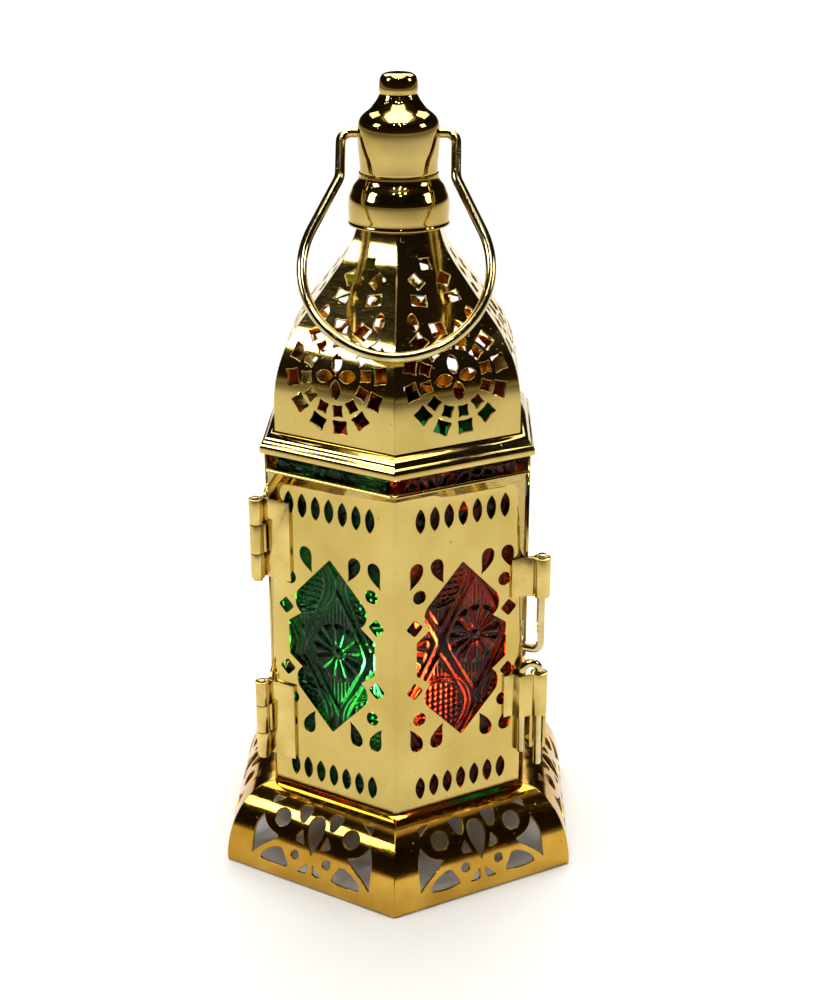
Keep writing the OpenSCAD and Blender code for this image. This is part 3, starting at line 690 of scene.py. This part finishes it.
def makePetals():
    low, high = nodeBox("roof_petal_1")
    rail = petalRail(low.z, high.z)
    for k in range(lantern["faces"]):
        bm = mitredSheet(rail, petalOpenings(), petal["seam"], petal["steps"])
        turnAll(bm, 30 + 60 * k)
        finishPiece(bm, f"roofPetal{k + 1}", "brassSheet", [f"roof_petal_{k + 1}"], 40)


makePetals()
print("roof petals bent")

# Roof band: one strip rolled to a rounded section and mitred at six corners
band = {"proud": 1.2, "topProud": 0.9, "gap": 0.08}


def roundLine(points, passes=2):
    # Cuts the corners of a line again and again, keeping its ends
    for _ in range(passes):
        line = [points[0]]
        for (ax, ay), (bx, by) in zip(points, points[1:]):
            line.append((ax * 0.75 + bx * 0.25, ay * 0.75 + by * 0.25))
            line.append((ax * 0.25 + bx * 0.75, ay * 0.25 + by * 0.75))
        points = line + [points[-1]]
    return points


def sixSided(points, z0):
    # Sweeps a closed section round the hexagon. Its points are (distance from axis to face, height).
    bm = bmesh.new()
    rows = []
    for k in range(lantern["faces"]):
        way = math.radians(60 * k - 90)
        ring = []
        for a, z in points:
            r = a / cos30
            ring.append(bm.verts.new(Vector((r * math.cos(way), r * math.sin(way), z0 + z)) * mm))
        rows.append(ring)
    for here, there in zip(rows, rows[1:] + rows[:1]):
        for i in range(len(points)):
            j = (i + 1) % len(points)
            bm.faces.new((here[i], there[i], there[j], here[j]))
    return bm


def makeBand():
    low, high = nodeBox("roof_band")
    tall = high.z - low.z
    inner, outer = apothem + band["gap"], apothem + band["proud"]
    top, seat = petal["foot"] + band["topProud"], petal["foot"] + band["gap"]
    # Rounded lower edge, a small step, then a slope up to the petals
    section = roundLine([
        (inner, 0.0), (outer - 0.5, 0.0), (outer, 0.5), (outer, 1.9), (outer - 0.5, 2.9), (outer - 0.9, 3.1),
        (outer - 1.3, 3.5), (outer - 1.9, 4.9), (top + 0.2, tall - 0.1), (top - 0.2, tall), (seat, tall),
    ])
    section += [(seat, tall - 1), (inner, 0.4 * tall)]
    return finishPiece(sixSided(section, low.z), "roofBand", "brassSheet", ["roof_band"], 40)


makeBand()
print("band rolled")

# Pressed glass panes
paneLook = {
    "relief": 0.8, "grid": 0.3, "cell": (12.3, 21.5), "daisy": 9.6, "medallion": 8.2, "rib": 1.3,
    "bead": 1.8, "thick": 2.6, "inset": 3.6, "gap": 0.05,
}
paneShift = {1: (5.3, 3.3), 2: (-3.0, 8.0), 3: (6.0, -9.0), 4: (0.0, 14.0), 5: (9.0, -3.0), 6: (1.5, -2.0)}
paneTint = {1: "red", 2: "amber", 3: "green", 4: "red", 5: "amber", 6: "green"}


def ridge(distance, width):
    return math.exp(-(distance / width) ** 2)


def paneRelief(x, y):
    # Height from 0 to 1 of the rolled pattern: daisies in ogee cells on fine ribs, and beaded
    # medallions between them
    cellX, cellY = paneLook["cell"]
    field = math.cos(math.pi * x / cellX) + math.cos(math.pi * y / cellY)
    slopeX = math.pi / cellX * math.sin(math.pi * x / cellX)
    slopeY = math.pi / cellY * math.sin(math.pi * y / cellY)
    away = field / (math.hypot(slopeX, slopeY) + 0.05)
    dx = (x + cellX) % (2 * cellX) - cellX
    dy = (y + cellY) % (2 * cellY) - cellY
    r = math.hypot(dx, dy)
    mx, my = x % (2 * cellX) - cellX, y % (2 * cellY) - cellY
    m = math.hypot(mx, my)
    if m < paneLook["medallion"]:
        # Beads, drawn a little coarser than the real ones
        bead = math.cos(math.pi * mx / paneLook["bead"]) * math.cos(math.pi * my / paneLook["bead"])
        height = 0.8 * abs(bead) ** 0.8
    elif r < paneLook["daisy"]:
        angle = math.atan2(dy, dx)
        reach = min(1.0, max(0.0, (paneLook["daisy"] - r) / 1.6)) * min(1.0, max(0.0, (r - 1.6) / 1.2))
        height = 0.95 * abs(math.cos(6 * angle)) ** 0.8 * reach
        height += 0.9 * ridge(r, 1.4)
    else:
        height = 0.3 * (0.5 + 0.5 * math.cos(2 * math.pi * x / paneLook["rib"]))
    height = max(height, ridge(away - 0.7, 0.7), 0.9 * ridge(away + 1.7, 0.7))
    border = m - paneLook["medallion"]
    height = max(height, 0.9 * ridge(border - 0.4, 0.5), 0.8 * ridge(border - 2.0, 0.5))
    return max(0.0, min(1.0, height))


def makePane(number):
    node = f"pane_{number}"
    face = number - 1
    low, high = nodeBox(node)
    halfWide = halfSide - paneLook["inset"]
    bottom, top = low.z, high.z
    outer = apothem - lantern["sheet"] - paneLook["gap"]
    shiftX, shiftZ = paneShift[number]
    columns = round(2 * halfWide / paneLook["grid"])
    rows = round((top - bottom) / paneLook["grid"])
    bm = bmesh.new()
    bmesh.ops.create_grid(bm, x_segments=columns, y_segments=rows, size=0.5)
    for vert in bm.verts:
        x, z = vert.co.x * 2 * halfWide, bottom + (vert.co.y + 0.5) * (top - bottom)
        fall = paneLook["relief"] * (1 - paneRelief(x - shiftX, z - wall["faceMiddle"] - shiftZ))
        vert.co = Vector((x, -(outer - fall), z)) * mm
    rim = [e for e in bm.edges if len(e.link_faces) == 1]
    made = bmesh.ops.extrude_edge_only(bm, edges=rim)["geom"]
    back = [v for v in made if isinstance(v, bmesh.types.BMVert)]
    for vert in back:
        vert.co.y = -(outer - paneLook["thick"]) * mm
    backEdges = [e for e in made if isinstance(e, bmesh.types.BMEdge) and e.is_boundary]
    bmesh.ops.edgeloop_fill(bm, edges=backEdges)
    turnAll(bm, 30 + 60 * face)
    tint = paneTint[number]
    finishPiece(bm, f"glassPane{number}", tint + "Glass", [node], 60)


for number in paneTint:
    makePane(number)
print("panes pressed")

# Spun collar and finial, turned about the axis
spun = {"steps": 96, "waist": 11.3}
collar = {"r": 14.8, "skin": 0.8}
finial = {"drum": 11.9, "knob": 5.5}


def spinLine(points, z0):
    bm = bmesh.new()
    verts = [bm.verts.new(Vector((x, 0, z0 + z)) * mm) for x, z in points]
    edges = [bm.edges.new(pair) for pair in zip(verts, verts[1:])]
    bmesh.ops.spin(
        bm, geom=verts + edges, cent=(0, 0, 0), axis=(0, 0, 1), angle=2 * math.pi,
        steps=spun["steps"], use_merge=True)
    bmesh.ops.remove_doubles(bm, verts=bm.verts, dist=1e-6)
    return bm


def makeCollar():
    # Rolled foot, upright band, and a long shoulder drawn in to the finial's waist
    low, high = nodeBox("collar")
    top = high.z - low.z
    r, waist, skin = collar["r"], spun["waist"], collar["skin"]
    outer = roundLine([
        (r - 0.5, 0.0), (r + 0.2, 0.2), (r + 0.1, 0.8), (r - 0.2, 1.3), (r, 3.5), (r, 6.8), (r - 0.2, 8.0),
        (r - 0.8, 9.4), (waist + 2.0, top - 4.0), (waist + 0.9, top - 2.6), (waist + 0.35, top - 1.3),
        (waist + 0.3, top - 0.4), (waist + 0.2, top), (waist - 2, top),
    ])
    inner = [
        (waist - 2, top - skin), (waist + 0.2, top - 0.9), (waist + 0.1, top - 2.7), (r - 1.4, 8.0),
        (r - skin, 6.4), (r - skin, 0.3), (r - 0.5, 0.0),
    ]
    return finishPiece(spinLine(outer + inner, low.z), "spunCollar", "brassSpun", ["collar"], 50)


def makeFinial():
    # Drum, round shoulder, and a knob with a rolled neck
    low, high = nodeBox("finial")
    waist, drum, knob = spun["waist"], finial["drum"], finial["knob"]
    total = high.z - low.z
    outer = [(0.0, 0.0)] + roundLine([
        (waist - 1.2, 0.0), (waist - 0.1, 0.0), (waist, 0.5), (waist, 1.2), (drum - 0.5, 3.2),
        (drum - 0.15, 6.2), (drum, 9.4), (drum, 12.2), (drum - 0.4, 14.6), (drum - 1.8, 16.4),
        (drum - 3.6, 17.6), (knob + 1.7, 19.0), (knob + 0.8, 20.2), (knob + 0.2, 21.4), (knob - 0.2, 22.2),
        (knob + 0.25, 23.0),
        (knob + 0.15, 24.4), (knob - 0.1, 26.0), (knob - 0.6, 27.2), (knob - 1.9, total - 0.1), (1.5, total),
        (0.0, total),
    ])
    return finishPiece(spinLine(outer, low.z), "spunFinial", "brassSpun", ["finial"], 60)


makeCollar()
makeFinial()
print("collar and finial spun")


# Bent wire
def bentWire(path, radius, sides=20):
    # A round tube through a list of points, with its ends closed flat
    curve = bpy.data.curves.new("wire", "CURVE")
    curve.dimensions = "3D"
    curve.bevel_depth = radius * mm
    curve.bevel_resolution = sides // 4
    curve.use_fill_caps = True
    spline = curve.splines.new("POLY")
    spline.points.add(len(path) - 1)
    for point, place in zip(spline.points, path):
        point.co = (*(Vector(place) * mm), 1)
    shape = bpy.data.objects.new("wire", curve)
    bpy.context.scene.collection.objects.link(shape)
    bpy.context.view_layer.update()
    mesh = bpy.data.meshes.new_from_object(shape)
    bm = bmesh.new()
    bm.from_mesh(mesh)
    bpy.data.objects.remove(shape)
    bpy.data.curves.remove(curve)
    bpy.data.meshes.remove(mesh)
    bmesh.ops.remove_doubles(bm, verts=bm.verts, dist=1e-6)
    return bm


handle = {
    "wire": 1.5, "legX": 16.5, "corner": 3.0, "splay": 6.0, "splayY": -12.5, "grip": 26.5, "length": 67.5,
    "tip": 9.9,
}


def makeHandle():
    pivot = next(j for j in frame["joints"] if j["child"] == "handle")["pos_m"][2] / mm
    legX, corner, splay, splayY, grip = (handle[key] for key in ("legX", "corner", "splay", "splayY", "grip"))
    gripY = grip - handle["length"]
    reach = math.hypot(legX + splay, gripY - splayY)
    # How far round the outward bend goes before it runs straight on into the grip
    turn = math.degrees(math.atan2(gripY - splayY, -legX - splay) + math.acos(-(splay + grip) / reach))
    half = [(handle["tip"], 0.0), (handle["tip"] + 1, 0.0)]
    half += arcPoints(legX - corner, -corner, corner, 90, 0, 8)
    half += arcPoints(legX + splay, splayY, splay, 180, 180 + turn, 8)
    half += arcPoints(0, gripY, grip, turn, -90, 48)
    path = half + [(-x, y) for x, y in reversed(half[:-1])]
    low, high = nodeBox("bail_handle")
    lean = math.atan2(-(low.y + handle["wire"]), pivot - low.z - handle["wire"])
    points = [(x, y * math.sin(lean), pivot + y * math.cos(lean)) for x, y in path]
    bm = bentWire(points, handle["wire"])
    return finishPiece(bm, "bailHandle", "brassWire", ["bail_handle"], 60)


makeHandle()
print("handle bent")


# Small fittings kept from the frame, with their sheared edges rounded
def finishNode(node, name, material, rim=0.12, angle=35.0):
    bm = bmesh.new()
    bm.from_mesh(frame["nodes"][node].data)
    bmesh.ops.remove_doubles(bm, verts=bm.verts, dist=2e-6)
    bmesh.ops.dissolve_limit(bm, angle_limit=math.radians(0.5), verts=bm.verts, edges=bm.edges)
    sharp = [e for e in bm.edges if len(e.link_faces) == 2 and e.calc_face_angle(0.0) > math.radians(angle)]
    bmesh.ops.bevel(
        bm, geom=sharp, offset=rim * mm, offset_type="OFFSET", segments=2, profile=0.5,
        affect="EDGES", material=-1, clamp_overlap=True)
    return finishPiece(bm, name, material, [node], angle)


fittings = [
    ("upper_hinge_door_leaf", "upperHingeDoorLeaf", "brassDull", "brass"),
    ("upper_hinge_wall_leaf", "upperHingeWallLeaf", "brassDull", "brass"),
    ("upper_hinge_pin", "upperHingePin", "brassDull", "brass_wire"),
    ("lower_hinge_door_leaf", "lowerHingeDoorLeaf", "brassDull", "brass"),
    ("lower_hinge_wall_leaf", "lowerHingeWallLeaf", "brassDull", "brass"),
    ("lower_hinge_pin", "lowerHingePin", "brassDull", "brass_wire"),
    ("upper_latch_clip", "upperLatchClip", "brassDull", "brass"),
    ("upper_latch_hook", "upperLatchHook", "brassWire", "brass_wire"),
    ("lower_latch_clip", "lowerLatchClip", "brassDull", "brass"),
    ("lower_latch_pin", "lowerLatchPin", "brassWire", "brass_wire"),
    ("latch_keeper", "latchKeeper", "brassDull", "brass"),
    ("floor_plate", "floorPlate", "tinplate", "tinplate"),
    ("candle_cup", "candleCup", "tinplate", "tinplate"),
    ("cup_rivet", "cupRivet", "steel", "steel"),
    ("left_pane_clips", "leftPaneClips", "tinplate", "tinplate"),
    ("right_pane_clips", "rightPaneClips", "tinplate", "tinplate"),
    ("door_pane_clips", "doorPaneClips", "tinplate", "tinplate"),
    ("finial_rod", "finialRod", "steel", "steel"),
    ("finial_nut", "finialNut", "steel", "steel"),
    ("tealight_cup", "tealightCup", "foil", "cup_foil"),
    ("tealight_wax", "tealightWax", "wax", "wax"),
    ("wick_sustainer", "wickSustainer", "tinplate", "tinplate"),
    ("wick", "wickBraid", "wick", "wick"),
]
for node, name, material, slotName in fittings:
    finishNode(node, name, material)
print("fittings rounded:", len(fittings))


def makeFlame():
    # Teardrop that stands on the wick
    line = []
    for i in range(17):
        t = i / 16
        r = flame["width"] / 2 * math.sin(math.pi * t) ** 0.8 * (1 - 0.45 * t)
        line.append((r, (flame["high"] - flame["low"]) * t))
    return finishPiece(spinLine(line, flame["low"]), "candleFlame", "flame", [], 80, "tealight")


makeFlame()
print("flame lit")


# Floor, lights, camera
def makeFloor():
    bm = bmesh.new()
    bmesh.ops.create_grid(bm, x_segments=1, y_segments=1, size=20.0)
    mesh = bpy.data.meshes.new("studioFloor")
    bm.to_mesh(mesh)
    bm.free()
    # Matt pale paper, with no sheen
    material, tree, place = newMaterial("palePaper")
    addSurface(tree, {"Base Color": linear("#F4F3F0"), "Roughness": 0.9})
    mesh.materials.append(material)
    floor = bpy.data.objects.new("studioFloor", mesh)
    bpy.context.scene.collection.objects.link(floor)


def softLight(name, place, aim, width, height, power):
    data = bpy.data.lights.new(name, "AREA")
    data.shape = "RECTANGLE"
    data.size, data.size_y = width, height
    data.energy = power
    lamp = bpy.data.objects.new(name, data)
    lamp.location = place
    lamp.rotation_euler = (Vector(aim) - Vector(place)).to_track_quat("-Z", "Y").to_euler()
    bpy.context.scene.collection.objects.link(lamp)


def makeRoom():
    # A bright ceiling over dim brown walls, and a pale floor all round
    world = bpy.data.worlds.new("studioRoom")
    bpy.context.scene.world = world
    world.use_nodes = True
    tree = world.node_tree
    tree.nodes.clear()
    place = addNode(tree, "ShaderNodeTexCoord").outputs["Generated"]
    height = addNode(tree, "ShaderNodeSeparateXYZ", {}, {"Vector": place}).outputs["Z"]
    tint = toned(tree, spread(tree, height, {"From Min": -1.0, "From Max": 1.0}), [
        (0.0, "#BDB29F"), (0.49, "#BDB29F"), (0.505, "#8A7A5A"), (0.53, "#231A10"),
        (0.8, "#120E0A"), (0.93, "#2A211A"), (0.96, "#CFC4B4"), (1.0, "#FFFAF2"),
    ])
    back = addNode(tree, "ShaderNodeBackground", {"Strength": 1.25}, {"Color": tint})
    addNode(tree, "ShaderNodeOutputWorld", {}, {"Surface": back.outputs["Background"]})


camera = {
    "place": (0.0173, -0.4957, 0.302),
    "forward": (-0.02295, 0.9324, -0.3608),
    "lens": 62.0,
    "sensor": 36.0,
}


def makeCamera():
    data = bpy.data.cameras.new("camera")
    data.lens = camera["lens"]
    data.sensor_fit = "VERTICAL"
    data.sensor_height = camera["sensor"]
    data.clip_start = 0.01
    data.clip_end = 50
    eye = bpy.data.objects.new("camera", data)
    eye.location = camera["place"]
    eye.rotation_euler = Vector(camera["forward"]).to_track_quat("-Z", "Y").to_euler()
    bpy.context.scene.collection.objects.link(eye)
    bpy.context.scene.camera = eye


makeFloor()
makeRoom()
# The four small lamps give the bent edges and the wire their points of light
aim = (0, 0, 0.12)
softLight("topLight", (0, -0.05, 0.8), (0, -0.05, 0), 0.45, 0.45, 3.1)
softLight("backgroundLight", (0, 2.6, 2.4), (0, 2.6, 0), 4.0, 3.0, 130)
softLight("keyLight", (-1.1, -0.4, 0.9), aim, 0.35, 0.35, 5)
softLight("fillLight", (1.2, -0.2, 0.8), aim, 0.35, 0.35, 3)
softLight("lamp1", (-0.2, -0.8, 1.2), aim, 0.045, 0.045, 0.5)
softLight("lamp2", (0.06, -0.72, 1.25), aim, 0.045, 0.045, 0.5)
softLight("lamp3", (0.3, -0.7, 1.2), aim, 0.045, 0.045, 0.5)
softLight("lamp4", (0.12, -0.95, 1.1), aim, 0.045, 0.045, 0.5)
makeCamera()
bpy.context.scene.view_settings.view_transform = "Standard"
print("studio set")
